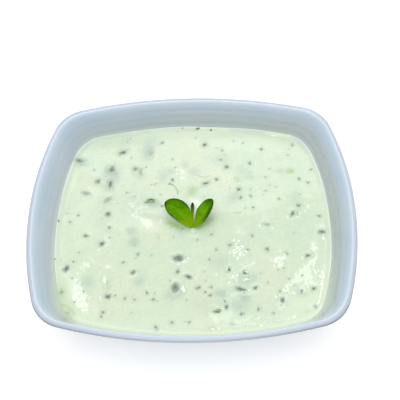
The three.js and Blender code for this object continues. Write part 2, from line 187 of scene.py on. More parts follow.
# Where the juice of herb and skin stains the dip green. The last three, round the sprig's foot, are
# painted green shadow under the leaves.
GREEN_STAINS = np.array([
    (-0.4, 18.5, 60, 5, 4, 0.45), (52.6, 30.1, 0, 3, 1.6, 0.5), (23.8, 26.2, 0, 2.4, 1.6, 0.3),
    (-60.5, -46.5, -50, 9, 3.5, 0.3), (-64.2, -39, -80, 12, 2.5, 0.3), (-41.5, -34, 0, 2.4, 2, 0.2),
    (-4.5, -1.4, -35, 9, 2, 0.6), (-7.8, -1.4, -22, 11, 2.2, 0.75), (8, 0.5, 30, 8, 2, 0.35),
])
# Where the dip is painted lighter: painted light along the walls, where their shade falls on it, and a
# painted highlight at the lower left.
PALE_PATCHES = np.array([
    (0, -56, 0, 120, 8, 0.35), (53, -47, 25, 26, 12, 0.4), (-52, -50, -30, 18, 10, 0.3),
    (0, 57, 0, 90, 5, 0.5), (-58, 10, 90, 34, 12, 0.3), (25, 50, -5, 64, 8, 0.3),
    # A painted highlight: the soft glint patch at the lower left.
    (-57.2, -36, -63, 13, 1.5, 0.75),
])
# Small white marks, whiter than the rest, painted on the dip as glints beside the clumps and over the
# glint patches.
CURDS = np.array([
    (-43.6, -11.9, 0, 1.8, 2, 0.8), (-42.4, -23.8, 0, 2.2, 1.2, 1), (-10.4, -21, -40, 1.8, 0.5, 1),
    (-7, -22.6, 0, 2, 0.4, 0.6), (-3.4, -21.5, 20, 2.8, 0.7, 1), (-33.1, 11.2, 0, 1.3, 1.2, 1),
    (-31.7, 9.9, 0, 1.4, 1, 1), (-28.4, 8.4, 10, 1.2, 0.5, 1), (-26.9, 9.1, 0, 1, 0.6, 1),
    (-29.6, 7.6, 0, 0.6, 0.6, 0.8), (-29.5, 5.8, 0, 0.6, 0.7, 0.8), (-31.1, 4.8, 80, 1.6, 1, 1),
    (-29.5, 3.6, -30, 3, 0.9, 1), (-26.5, 5.7, 70, 1, 0.5, 1), (-24.6, 9.7, 0, 1.4, 1, 0.6),
    (-16.5, 1.1, 80, 2.4, 0.9, 0.9), (-14.2, 1.9, 0, 0.8, 0.6, 0.6), (24.6, -23.4, -25, 2, 0.4, 0.6),
    (27.8, -24.2, -5, 2.4, 0.5, 1), (30.2, -22.8, 50, 1.8, 0.6, 1), (20.3, -30, 25, 3, 1, 0.8),
    (12, -28.4, 0, 0.9, 0.9, 0.7), (20, -39.2, 30, 3.4, 1.6, 0.5), (27.4, -37.9, 40, 1.8, 0.5, 0.8),
    (45.4, -41.3, 70, 3, 1.6, 0.5), (14.8, -45.8, 60, 2.4, 0.5, 0.8), (57.5, -44.6, 0, 3, 2.4, 0.4),
    (40.8, -21, -10, 4, 1, 0.7), (46.4, -20, 30, 3.6, 0.9, 0.7), (43.4, -24.4, 80, 2.4, 1.2, 0.7),
])

# ---- the sprig ----

SPRIG_FOOT = np.array([-0.1, -2.9, FILL_LEVEL])
SHOOT_TIP = np.array([0.3, 6.7, 40])
SHOOT_SUNK = 4.0
SHOOT_SIDES = 28
SHOOT_RADIUS = 0.85  # at its foot
SHOOT_TAPER = 0.42  # how much thinner it is at the tip
BUD_SWELL = 0.4
BUD_AT = 0.88  # as a share of the shoot's length
VIEW_SIDE = np.array([0, -0.45, 0.89])  # the side that both leaves turn their faces to
LEAF_THICKNESS = 0.5
LEAF_STEPS = 120
LEAF_AROUND = 140
TEETH = 9
VEIN_PAIRS = 6.5
VEIN_DEPTH = 0.14
SKIN_SWELL = 0.1  # how far the skin stands out between the veins
# A leaf's last setting is how strongly painted shade darkens its right half and tip.
LEFT_LEAF = dict(
    base=np.array([-0.8, -3.4, 31.7]), bend=np.array([-5.3, 7.2, 36.5]), tip=np.array([-14.1, 7.1, 39.1]),
    half_width=5.6, roll=-26, widest=1.22, fullness=0.52, fold=0.07, wave=0.35, wave_shift=0.7, deep=0.25,
)
RIGHT_LEAF = dict(
    base=np.array([0.7, -3.1, 31.7]), bend=np.array([7.7, 1.2, 37.5]), tip=np.array([9.9, 9.3, 39.7]),
    half_width=4.7, roll=-45, widest=1.34, fullness=0.45, fold=0.37, wave=0.3, wave_shift=2.4, deep=0.9,
)

# ---- the studio ----

CAMERA_AT = Vector((10.99, -120.33, 293.03)) * MM
CAMERA_LOOKS_AT = Vector((4.39, 3.41, 50)) * MM
CAMERA_ROLL = -3.307  # degrees
TABLETOP_REACH = 3.0  # metres
TABLETOP_GLOW = 0.2
SKY_BRIGHTNESS = 0.59
LIGHTS_AIM = (0, 0, 30)
# Lights as (name, place, whether aimed at the dip or straight down, width, depth, turn, brightness).
LIGHTS = [
    ("softbox_behind", (0, 480, 760), True, 480, 240, 0, 2.0),
    ("softbox_overhead", (0, -100, 900), True, 560, 460, 0, 3.1),
    ("lamp_left", (-229, 146, 650), False, 26, 43, 0, 7),
    ("lamp_behind_left", (-52, 339, 650), False, 36, 18, -40, 7.5),
    ("lamp_right", (180, 204, 650), False, 36, 90, 0, 6),
    ("lamp_behind_right", (60, 185, 650), False, 60, 40, 0, 12),
    ("lamp_low_left", (-532, -160, 683), True, 36, 36, 0, 20),
    ("lamp_low_right", (500, 340, 680), True, 36, 36, 0, 12),
    ("lamp_front", (-60, -420, 900), True, 80, 20, 0, 12),
]


# ---- meshes from arrays ----

def new_object(name, data):
    """A new object in the scene, at the origin, that holds the data."""
    made = bpy.data.objects.new(name, data)
    bpy.context.scene.collection.objects.link(made)
    return made


def make_piece(name, points, faces, materials, replaced):
    """A smooth mesh object on the root body from an array of points in millimetres and a list of face
    arrays, each array holding faces of one corner count."""
    corners = np.concatenate([block.ravel() for block in faces])
    counts = np.concatenate([np.full(len(block), block.shape[1]) for block in faces])
    mesh = bpy.data.meshes.new(name)
    mesh.vertices.add(len(points))
    mesh.vertices.foreach_set("co", (points * MM).ravel())
    mesh.loops.add(len(corners))
    mesh.loops.foreach_set("vertex_index", corners)
    mesh.polygons.add(len(counts))
    mesh.polygons.foreach_set("loop_start", np.cumsum(counts) - counts)
    mesh.polygons.foreach_set("use_smooth", np.ones(len(counts), bool))
    mesh.update(calc_edges=True)
    mesh.validate()
    for material in materials:
        mesh.materials.append(material)
    piece = new_object(name, mesh)
    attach(piece, "root")
    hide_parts(*replaced)
    return piece


def add_attribute(piece, name, values):
    """One number for each point of the piece, for its material to read."""
    stored = piece.data.attributes.new(name, "FLOAT", "POINT")
    stored.data.foreach_set("value", values.astype(np.float32))


def skin_faces(rings, sides, start=0):
    """Faces of a closed skin whose points are numbered as: first pole, ring by ring, last pole. Rings run
    anticlockwise seen from outside the last pole."""
    here = start + 1 + np.arange(rings * sides).reshape(rings, sides)
    following = np.roll(here, -1, 1)
    bands = np.stack([here[:-1], following[:-1], following[1:], here[1:]], -1)
    first_pole, last_pole = np.full(sides, start), np.full(sides, start + 1 + rings * sides)
    first_fan = np.stack([first_pole, following[0], here[0]], -1)
    last_fan = np.stack([last_pole, here[-1], following[-1]], -1)
    return [bands.reshape(-1, 4), np.concatenate([first_fan, last_fan])]


def skin_points(first_pole, rings, last_pole):
    """The points of such a skin in their order."""
    return np.concatenate([[first_pole], rings.reshape(-1, 3), [last_pole]])


def catmull_rom(stations, steps):
    """Points on the uniform Catmull-Rom spline through the stations, `steps` to each span: each span is the
    cubic whose end slopes are half the way between the two neighbours, the end stations counting twice."""
    stations = np.asarray(stations, float)
    padded = np.concatenate([stations[:1], stations, stations[-1:]])
    t = (np.arange(steps) / steps)[None, :, None]
    before, here, after, beyond = (padded[k:len(stations) - 1 + k, None] for k in range(4))
    slope_here = (after - before) / 2
    slope_after = (beyond - here) / 2
    curve = (
        (2 * here - 2 * after + slope_here + slope_after) * t**3
        + (3 * after - 3 * here - 2 * slope_here - slope_after) * t**2
        + slope_here * t + here
    )
    return np.concatenate([curve.reshape(-1, stations.shape[1]), stations[-1:]])


def circle(sides):
    """Angles evenly round a circle."""
    return 2 * math.pi * np.arange(sides) / sides


def unit(vectors):
    """The vectors at length 1."""
    return vectors / np.linalg.norm(vectors, axis=-1, keepdims=True)


def turned(vectors, axes, degrees):
    """The vectors turned about unit axes, by Rodrigues' formula."""
    angle = math.radians(degrees)
    along = (axes * vectors).sum(-1, keepdims=True)
    return (
        vectors * math.cos(angle) + np.cross(axes, vectors) * math.sin(angle)
        + axes * along * (1 - math.cos(angle))
    )


def tube(middle, radius, angle):
    """A tube's rings round a line of points, each square to the line: out to one side by the radius times
    the cosine of the angle, and by its sine square to that. Also the line's direction at each point."""
    along = unit(np.gradient(middle, axis=0))
    side = unit(np.cross(along, [0, 0, 1.0]))
    front = np.cross(side, along)
    rings = (
        middle[:, None] + side[:, None] * (radius * np.cos(angle))[..., None]
        - front[:, None] * (radius * np.sin(angle))[..., None]
    )
    return rings, along


def smoothstep(low, high, x):
    """0 up to the first value and 1 from the second, with a smooth rise between; low may be the higher."""
    t = np.clip((x - low) / (high - low), 0, 1)
    return t * t * (3 - 2 * t)


def hump(x, middle, reach):
    """A bell curve that is 1 at its middle."""
    return np.exp(-(((x - middle) / reach) ** 2))


def draw(index, kind):
    """A repeatable draw between 0 and 1, for each index and kind of draw."""
    wave = np.sin(np.asarray(index, float) * 12.9898 + kind * 78.233) * 43758.5453
    return wave - np.floor(wave)


def ripples(x, y, height, count, shortest, longest, kind):
    """Smooth noise of about the height each way: a sum of plane sine waves in drawn directions, with
    wavelengths drawn between the shortest and the longest."""
    total = np.zeros(np.broadcast(x, y).shape)
    for index in range(count):
        direction = 2 * math.pi * draw(index, kind)
        wavelength = shortest + (longest - shortest) * draw(index, kind + 0.3)
        phase = 2 * math.pi * draw(index, kind + 0.6)
        across = x * math.cos(direction) + y * math.sin(direction)
        total += np.sin(2 * math.pi * across / wavelength + phase)
    return height * (total / math.sqrt(count))


# ---- the bowl's outline ----

def quarter_outline(inset, height, share):
    """A quarter of the rim's outline moved in by the inset, and the short side by its lean at this height
    too, from the middle of the short side (share 0) to the middle of the long side (share 1). Both sides
    are arcs about fixed centres, and the corner is the circle of its radius that touches both from inside."""
    lean = SHORT_SIDE_LEAN * np.maximum(HEIGHT - LIP_RADIUS - height, 0)
    long_y = HALF_WIDTH - LONG_SIDE_RADIUS
    short_x = HALF_LENGTH - SHORT_SIDE_RADIUS
    long_radius = LONG_SIDE_RADIUS - inset
    short_radius = SHORT_SIDE_RADIUS - inset - lean
    reach_long = long_radius - CORNER_RADIUS
    reach_short = short_radius - CORNER_RADIUS
    span = math.hypot(short_x, long_y)
    along = (reach_long**2 - reach_short**2 + span**2) / (2 * span)
    aside = np.sqrt(reach_long**2 - along**2)
    corner_x = (along * short_x - aside * long_y) / span
    corner_y = long_y - (along * long_y + aside * short_x) / span
    short_end = np.arctan2(corner_y, corner_x - short_x)
    long_start = np.arctan2(corner_y - long_y, corner_x)
    round_corner = (share - SHORT_SIDE_END) / (CORNER_END - SHORT_SIDE_END)
    on_short = share / SHORT_SIDE_END * short_end
    on_corner = short_end + round_corner * (long_start - short_end)
    on_long = long_start + (share - CORNER_END) / (1 - CORNER_END) * (math.pi / 2 - long_start)
    stretches = [share < SHORT_SIDE_END, share < CORNER_END]
    x = np.select(
        stretches,
        [short_x + short_radius * np.cos(on_short), corner_x + CORNER_RADIUS * np.cos(on_corner)],
        long_radius * np.cos(on_long),
    )
    y = np.select(
        stretches,
        [short_radius * np.sin(on_short), corner_y + CORNER_RADIUS * np.sin(on_corner)],
        long_y + long_radius * np.sin(on_long),
    )
    return x, y


def outline(inset, height, turn):
    """The whole outline: turn runs from 0 to 4, a quarter for each 1, anticlockwise from the middle of the
    right-hand side, and the quarters mirror one another."""
    quarter = np.floor(turn) % 4
    part = turn - np.floor(turn)
    share = np.where(quarter % 2 == 0, part, 1 - part)
    x, y = quarter_outline(inset, height, share)
    return np.where((quarter == 1) | (quarter == 2), -x, x), np.where(quarter >= 2, -y, y)


inner_wall_curve = catmull_rom(INNER_WALL, 24)


def wall_inset(height):
    """The inner wall's inset at a height."""
    return np.interp(height, inner_wall_curve[::-1, 1], inner_wall_curve[::-1, 0])


# ---- colours and materials ----

def linear(hex_colour):
    """An sRGB hex colour as linear RGBA."""
    channels = [int(hex_colour[k:k + 2], 16) / 255 for k in (1, 3, 5)]
    return [c / 12.92 if c <= 0.04045 else ((c + 0.055) / 1.055) ** 2.4 for c in channels] + [1.0]


def add_node(tree, kind, inputs=(), **settings):
    """Adds a node with its settings, and sets or links its inputs, given by name or number."""
    node = tree.nodes.new(kind)
    for name, value in settings.items():
        setattr(node, name, value)
    for socket, value in dict(inputs).items():
        if isinstance(value, bpy.types.NodeSocket):
            tree.links.new(value, node.inputs[socket])
        else:
            node.inputs[socket].default_value = value
    return node


def mix(tree, share, first, second):
    """A colour between two, each a hex colour or a socket. The share of the second is a number, a socket
    or the name under which the points carry it."""
    if isinstance(share, str):
        share = add_node(tree, "ShaderNodeAttribute", attribute_name=share).outputs["Fac"]
    colours = [linear(c) if isinstance(c, str) else c for c in (first, second)]
    node = add_node(tree, "ShaderNodeMix", {0: share, 6: colours[0], 7: colours[1]}, data_type="RGBA")
    return node.outputs[2]


def coated(tree, colour, **coats):
    """A colour under further ones, each laid on as strongly as the points say under its name."""
    for name, coat in coats.items():
        colour = mix(tree, name, colour, coat)
    return colour


def noise(tree, place, size, detail=2, low=0.35, high=0.65):
    """Noise of a grain size in millimetres, stretched to run from 0 to 1."""
    node = add_node(tree, "ShaderNodeTexNoise", {"Vector": place, "Scale": 1 / (size * MM), "Detail": detail})
    stretched = add_node(tree, "ShaderNodeMapRange", {0: node.outputs["Fac"], 1: low, 2: high})
    return stretched.outputs["Result"]


def paint(tree, shader, colour):
    """Gives the shader its colour from a socket."""
    tree.links.new(colour, shader.inputs["Base Color"])


def bump(tree, shader, height, distance):
    """Relief of a height in millimetres on the shader."""
    node = add_node(tree, "ShaderNodeBump", {"Height": height, "Distance": distance * MM})
    tree.links.new(node.outputs["Normal"], shader.inputs["Normal"])


def scatter(shader, weight, reach, tint):
    """Light scattered under the surface, over a reach in millimetres."""
    shader.inputs["Subsurface Weight"].default_value = weight
    shader.inputs["Subsurface Radius"].default_value = tint
    shader.inputs["Subsurface Scale"].default_value = reach * MM


def new_material(name, roughness, ior):
    """A material, its node tree, its Principled shader, and the place on the object."""
    material = bpy.data.materials.new(name)
    material.use_nodes = True
    tree = material.node_tree
    shader = tree.nodes["Principled BSDF"]
    shader.inputs["Roughness"].default_value = roughness
    shader.inputs["IOR"].default_value = ior
    return material, tree, shader, add_node(tree, "ShaderNodeTexCoord").outputs["Object"]


def glazed_porcelain():
    """Hard porcelain under a clear blue-white fired glaze: very even and glossy, with the soft waviness of
    a glaze that flowed. It turns bluer and lighter towards the rim, a painted reflection of the sky. Just
    inside the lip a painted highlight brightens it, over the top of the lip painted shade greys it, and
    along its outer edge painted shade darkens it. Above the dip, a fine film of whey dulls the wall in
    streaks, faint bands show where the glaze ran, with painted shade added to them at the far side, and
    the dip laps it at the very edge. Points carry how much of each they have."""
    material, tree, shader, place = new_material("glazed_porcelain", 0.09, 1.5)
    height = add_node(tree, "ShaderNodeSeparateXYZ", {0: place}).outputs["Z"]
    # Bluer and lighter towards the rim in both mixes: a painted reflection of the sky in the upper wall.
    up = add_node(tree, "ShaderNodeMapRange", {0: height, 1: 34 * MM, 2: 49 * MM}).outputs["Result"]
    glaze = mix(tree, up, "#cad5df", "#d0e0f8")
    clouded = mix(tree, noise(tree, place, 26), glaze, mix(tree, up, "#d2d8e0", "#d8e4f8"))
    flat = add_node(tree, "ShaderNodeMapping", {"Vector": place, "Scale": (1, 1, 2.6)}).outputs[0]
    streaks = mix(tree, noise(tree, flat, 3.2, detail=4), "#ced4cb", "#b9c4bd")
    # A painted highlight just inside the lip, painted shade over its top and along its outer edge, and
    # painted shade in the bands at the far side.
    paint(tree, shader, coated(
        tree, clouded, flank="#e2f0ff", crest="#c4cedb", film=streaks, bands="#8695a6", edge="#5c6674",
        lap="#e3eedd",
    ))
    bump(tree, shader, noise(tree, place, 9, detail=1), 0.04)
    return material


def bare_porcelain():
    """Unglazed porcelain where the foot stood in the kiln: dry, white and finely grained. The real grain
    of about 0.05 mm is drawn at 0.5 mm, so that it shows."""
    material, tree, shader, place = new_material("bare_porcelain", 0.75, 1.45)
    grain = noise(tree, place, 0.5, detail=4)
    paint(tree, shader, mix(tree, grain, "#d9d5cb", "#ebe8e0"))
    bump(tree, shader, grain, 0.03)
    return material


def yoghurt_dip():
    """Strained yoghurt stirred with cucumber juice: wet, smooth and translucent, drifting from cream to a
    cool pale green. Its grain of about 0.3 mm is drawn at 1.5 mm, so that it shows. Points carry where it
    is painted lighter, as painted light against the wall's shade and as a painted highlight; the painted
    highlight on the bead at its edge; small white painted glints; and how much of the cucumber and herb
    under it shows: as a blue-grey shade, as a dark core, and as green. The blue-grey also holds painted
    shade in the groove behind the bead and a painted shadow under the left leaf, and the green holds a
    painted green shadow round the sprig's foot."""
    material, tree, shader, place = new_material("yoghurt_dip", 0.05, 1.42)
    drift = noise(tree, place, 22, detail=3, low=0.3, high=0.7)
    clouds = noise(tree, place, 6, low=0.3, high=0.7)
    grain = noise(tree, place, 1.5, detail=5, low=0.3, high=0.7)
    cream = mix(tree, drift, "#e0f0d8", "#eaf2d7")
    clouded = mix(tree, clouds, cream, mix(tree, 0.3, cream, "#d2e6cf"))
    curdled = mix(tree, grain, clouded, mix(tree, 0.2, clouded, "#b7cbac"))
    # Painted light, a painted highlight on the bead and painted glints whiten the dip; the blue-grey and the
    # green also carry painted shade and shadow.
    paint(tree, shader, coated(
        tree, curdled, thin="#f4ffe8", bead="#f0fbff", curd="#fafff9", shade="#9db6b0", core="#66786a",
        green="#93b45a",
    ))
    bump(tree, shader, noise(tree, place, 1.4, detail=3), 0.0012)
    scatter(shader, 0.3, 1.5, (1.0, 0.9, 0.7))
    return material


def chopped_herb():
    """Chopped mint and dill gone dull in the yoghurt: scraps from grey-green to brownish, milky where the
    dip laps them."""
    material, tree, shader, place = new_material("chopped_herb", 0.3, 1.4)
    dull = mix(tree, "tone", "#5a6f60", "#6e735a")
    herb = mix(tree, noise(tree, place, 0.9, detail=3), dull, "#92a38d")
    paint(tree, shader, mix(tree, "bare", "#a9baa8", herb))
    scatter(shader, 0.2, 0.8, (0.6, 0.7, 0.5))
    return material


def grated_cucumber():
    """Grated cucumber: wet translucent flesh, grey-green to fresh green from piece to piece, with a line of
    dark green skin along one side."""
    material, tree, shader, place = new_material("grated_cucumber", 0.25, 1.36)
    side = add_node(tree, "ShaderNodeAttribute", attribute_name="side").outputs["Fac"]
    skin = add_node(tree, "ShaderNodeMapRange", {0: side, 1: 0.6, 2: 0.76}).outputs["Result"]
    flesh = mix(tree, "tone", "#bdd0b6", "#86a65e")
    pulp = mix(tree, "tone", "#a2b89c", "#6d8b50")
    uneven = mix(tree, noise(tree, place, 1.1), flesh, pulp)
    cut = mix(tree, skin, uneven, "#3d5629")
    paint(tree, shader, mix(tree, "bare", "#b4c99e", cut))
    scatter(shader, 0.35, 1.0, (0.7, 0.9, 0.5))
    return material


def dill_thread():
    """Dill fronds as fine as hair: yellow-green where they are fresh, brown where they have dried."""
    material, tree, shader, place = new_material("dill_thread", 0.35, 1.4)
    fresh = mix(tree, noise(tree, place, 1.5), "#c6d394", "#aebd78")
    paint(tree, shader, coated(tree, fresh, dried="#c2b99d"))
    scatter(shader, 0.3, 0.8, (0.8, 0.9, 0.4))
    return material


def mint_leaf():
    """Fresh mint: saturated green skin, hardly shiny, with a yellow-green foot where the leaf is young,
    paler veins and a darker margin, and painted shade that darkens the right half and the tip, most of all
    on the right leaf."""
    material, tree, shader, place = new_material("mint_leaf", 0.5, 1.4)
    blade = mix(tree, noise(tree, place, 2.4), "#4d8f00", "#6fab02")
    paint(tree, shader, coated(
        tree, blade, young="#8db200", vein="#77b00c", deep="#2b6200", margin="#215300",
    ))
    shader.inputs["Specular IOR Level"].default_value = 0.05
    scatter(shader, 0.15, 0.6, (0.5, 1.0, 0.1))
    return material


def mint_stem():
    """A young mint stem: yellow-green up to half way, olive above, and nearly black at the closed bud."""
    material, tree, shader, _ = new_material("mint_stem", 0.5, 1.4)
    share = add_node(tree, "ShaderNodeAttribute", attribute_name="height_share").outputs["Fac"]
    tone = add_node(tree, "ShaderNodeValToRGB", {"Fac": share})
    foot, bud = tone.color_ramp.elements
    foot.position = 0.5
    foot.color = linear("#8cb414")
    bud.position = 0.92
    bud.color = linear("#2a3a12")
    middle = tone.color_ramp.elements.new(0.75)
    middle.color = linear("#6f8a1c")
    paint(tree, shader, tone.outputs["Color"])
    shader.inputs["Specular IOR Level"].default_value = 0.3
    return material


def opal_acrylic():
    """The top of a light table: matt opal acrylic, faintly lit from below."""
    material, _, shader, _ = new_material("opal_acrylic", 0.8, 1.45)
    shader.inputs["Base Color"].default_value = linear("#ffffff")
    shader.inputs["Emission Color"].default_value = linear("#ffffff")
    shader.inputs["Emission Strength"].default_value = TABLETOP_GLOW
    return material


# ---- the bowl ----

def bowl_finishes(turn, heights, insets):
    """How much of each finish, painted highlight and painted shade shows at each ring of the bowl, by its
    height and inset, and each turn round it. The painted highlight just inside the lip and the painted
    shade over its top follow the lip. The grey edge is painted shade under the lip's outside, mostly at
    the near corners. The film lies above the dip in tide lines, more of it to the right. The dip laps the
    wall just over its level, and higher at the near corners. The bands are two cosines of the height
    that wander round the wall, strongest at the far side, where the doubling is painted shade."""
    heights, insets = heights[:, None], insets[:, None]
    inside = np.arange(len(heights))[:, None] > np.argmax(heights)
    to_right = np.cos(math.pi / 2 * (turn + 0.2))
    near_corners = sum(hump(turn, corner, 0.3) for corner in NEAR_CORNERS)
    film = inside * smoothstep(44, 40, heights) * smoothstep(FILL_LEVEL - 1, FILL_LEVEL + 4, heights)
    film *= 0.85 + 0.18 * np.cos(2 * math.pi * (heights - 40) / 5)
    lap = smoothstep(FILL_LEVEL + 4 + 6 * near_corners, FILL_LEVEL + 1, heights)
    lap *= 0.3 - 0.22 * to_right + 0.6 * near_corners
    wander = 1.3 * np.sin(1.5 * math.pi * turn + 0.4)
    bands = 0.5 + 0.17 * np.cos(2 * math.pi * heights / 4.4 + wander)
    bands += 0.1 * np.cos(2 * math.pi * heights / 2.9 - 2 * wander + 2)
    # Doubled at the far side: painted shade on the far wall.
    bands *= 1 + hump(turn, 1, 0.5)
    banded = inside * smoothstep(FILL_LEVEL + 1, FILL_LEVEL + 4, heights) * smoothstep(48, 45, heights)
    # Painted shade under the outside of the lip, mostly at the near corners.
    outer_edge = ~inside * smoothstep(49.85, 49.3, heights) * smoothstep(46.5, 48.2, heights)
    return {
        # Painted highlight just inside the lip.
        "flank": 0.8 * (smoothstep(1.6, 2.3, insets) * smoothstep(47.4, 48.7, heights)),
        # Painted shade over the top of the lip.
        "crest": smoothstep(2.3, 1.6, insets) * smoothstep(46, 48, heights),
        "film": film * (0.34 + 0.3 * to_right),
        "bands": 0.14 * banded * bands,
        # Painted shade along the lip's outer edge.
        "edge": outer_edge * (0.12 + 0.65 * near_corners),
        "lap": inside * lap,
    }


def make_bowl():
    """The wall's profile carried round the outline: foot ring, outer wall, half-round lip and inner wall,
    each a row of (inset, height), every row a ring of the outline moved in by its inset. The first ring
    shrinks to the middle of the recess and the last one to the middle of the floor."""
    turn = np.arange(0, 4, 4 / BOWL_SIDES)
    lip_angle = np.linspace(math.pi, 0, LIP_STEPS + 1)[1:-1]
    lip = np.stack([
        LIP_RADIUS + LIP_RADIUS * np.cos(lip_angle), HEIGHT - LIP_RADIUS + LIP_RADIUS * np.sin(lip_angle),
    ], -1)
    foot = catmull_rom(FOOT_RING, 5)[:-1]
    profile = np.concatenate([foot, catmull_rom(OUTER_WALL, 10), lip, catmull_rom(INNER_WALL, 10)])
    profile[:, 1] = np.maximum(profile[:, 1], 0)
    x, y = outline(profile[:, :1], profile[:, 1:], turn[None])
    rings = np.stack([x, y, np.broadcast_to(profile[:, 1:], x.shape)], -1)
    shrink = np.array([0.3, 0.7])[:, None, None]
    recess = rings[:1] * shrink + [0, 0, RECESS_TOP] * (1 - shrink)
    floor = rings[-1:] * shrink[::-1] + [0, 0, FLOOR_TOP] * (1 - shrink[::-1])
    rings = np.concatenate([recess, rings, floor])
    points = skin_points([0, 0, RECESS_TOP], rings, [0, 0, FLOOR_TOP])
    bowl = make_piece(
        "porcelain_bowl", points, skin_faces(len(rings), len(turn)), [glazed_porcelain(), bare_porcelain()],
        replaced=["serving_bowl"],
    )
    heights = rings[:, 0, 2]
    inmost = [HALF_WIDTH] * len(shrink)
    insets = np.concatenate([inmost, profile[:, 0], inmost])
    for name, values in bowl_finishes(turn, heights, insets).items():
        values = np.broadcast_to(values, rings.shape[:2]).ravel()
        add_attribute(bowl, name, np.concatenate([[0], values, [0]]))
    standing = (heights[:-1] < BARE_FOOT) & (heights[1:] < BARE_FOOT)
    index = np.zeros(len(bowl.data.polygons), np.int32)
    index[:len(standing) * len(turn)] = np.repeat(standing, len(turn))
    bowl.data.polygons.foreach_set("material_index", index)


# ---- the dip ----

def surface_height(x, y):
    """The dip's height away from the wall: the level, a slow swell, and a rise over each large piece."""
    height = FILL_LEVEL + 0.22 * np.sin(x / 9.5 + y / 21) + 0.18 * np.sin(y / 8 - x / 26 + 1.3)
    for px, py, _, length, width in LARGE_PIECES:
        reach = length / 2 + LUMP_REACH
        height = height + LUMP_HEIGHT * width * np.exp(-((x - px) ** 2 + (y - py) ** 2) / reach**2)
    return height


def ellipse_radius(x, y, piece, soften):
    """How far each point is from a piece's middle, as a share of its ellipse grown by `soften`."""
    px, py, turn, length, width = piece[:5]
    c, s = math.cos(math.radians(turn)), math.sin(math.radians(turn))
    along = ((x - px) * c + (y - py) * s) / (length / 2 + soften)
    across = ((y - py) * c - (x - px) * s) / (width / 2 + soften)
    return np.hypot(along, across)


def blot(x, y, piece, soften):
    """How strongly a flat piece shows at each point: 1 at its middle, dying away softly round its edge."""
    return np.exp(-ellipse_radius(x, y, piece, soften) ** 2.6)


def strongest_blot(x, y, pieces, soften, strengths):
    """How strongly flat pieces show together at each point: as much as the strongest of them there."""
    shown = np.zeros(x.shape)
    for piece, strength in zip(pieces, strengths):
        shown = np.maximum(shown, strength * blot(x, y, piece, soften))
    return shown


def dip_height(x, y, from_wall):
    """The dip's height with all its relief: the meniscus at the wall, and away from it the curd's grain,
    its ruffles, and the ripples that the spoon left at the left and the right end. Low mounds and a ring
    round each large piece rise from it, and the sprig's foot draws it up and leaves a dip round itself."""
    height = surface_height(x, y) + MENISCUS * np.exp(-from_wall / MENISCUS_REACH)
    calm = smoothstep(0, 5, from_wall)
    left = ripples(x, y, *LEFT_RIPPLES) * smoothstep(-34, -46, x)
    right = ripples(x, y, *RIGHT_RIPPLES) * smoothstep(28, 38, x)
    height += calm * (left + right + ripples(x, y, *CURD_GRAIN))
    ruffled = sum(patch[5] * blot(x, y, patch, 1) for patch in RUFFLES)
    height += calm * ruffled * ripples(x, y, *RUFFLE_GRAIN)
    for mound in MOUNDS:
        height += mound[5] * hump(ellipse_radius(x, y, mound, 0), 0, 1)
    for piece in LARGE_PIECES:
        past_edge = (ellipse_radius(x, y, piece, 0) - 1) * math.sqrt(piece[3] * piece[4]) / 2
        height += 0.1 * hump(past_edge, 0.8, 0.6)
    off_foot = np.hypot(x - SPRIG_FOOT[0], y - SPRIG_FOOT[1])
    height += 0.5 * hump(off_foot, 0, 1.6) - 0.25 * hump(off_foot, 3.4, 1.6)
    return height


def square_share(u, v):
    """The share of a quarter of the outline at which the ray through a point of the square meets it, half
    of a quarter to each side of the square's diagonal, and how far out the point is, from 0 to 1."""
    ring = np.maximum(np.maximum(abs(u), abs(v)), 1e-9)
    return np.where(abs(u) >= abs(v), 0.5 * abs(v) / ring, 1 - 0.5 * abs(u) / ring), ring


def dip_grid():
    """A square grid whose square rings become rings of the outline, its lines closer together towards the
    wall: each point's place (u, v) in the square and (x, y) in the bowl, and its way to the wall."""
    lines = [np.linspace(-1, 1, count) for count in DIP_GRID]
    u_lines, v_lines = (1.25 * line - 0.25 * line**3 for line in lines)
    v, u = np.meshgrid(v_lines, u_lines, indexing="ij")
    share, ring = square_share(u, v)
    edge_x, edge_y = quarter_outline(wall_inset(FILL_LEVEL + MENISCUS) - EDGE_IN_WALL, FILL_LEVEL, share)
    slant = 0.92  # of a ray from the middle against the straight way to the wall
    from_wall = np.maximum((1 - ring) * np.hypot(edge_x, edge_y) * slant - EDGE_IN_WALL, 0)
    return u, v, np.sign(u) * edge_x * ring, np.sign(v) * edge_y * ring, from_wall


def wall_bead(x, y, from_wall):
    """How much there is of the small bead in which the surface ends at the wall, and of the groove behind
    it. They run along the left wall, the far part of the right one and drawn stretches between, die away
    towards the near side, and have a drop in the far right corner. Besides their relief, the dip's colour
    gives the bead and the drop a painted highlight, and the groove painted shade."""
    beaded = np.maximum(smoothstep(-5, -30, x), 0.7 * smoothstep(50, 60, x) * smoothstep(5, 25, y))
    beaded = np.maximum(beaded, smoothstep(-0.2, 0.5, ripples(x, y, *BEADED_STRETCHES)))
    drop = 0.8 * np.exp(-((x - 59) ** 2 + (y - 49) ** 2) / 16)
    beading = beaded * smoothstep(-40, -10, y) + drop
    return beading * hump(from_wall, 0.3, 0.35), beading * hump(from_wall, 1.5, 0.6)


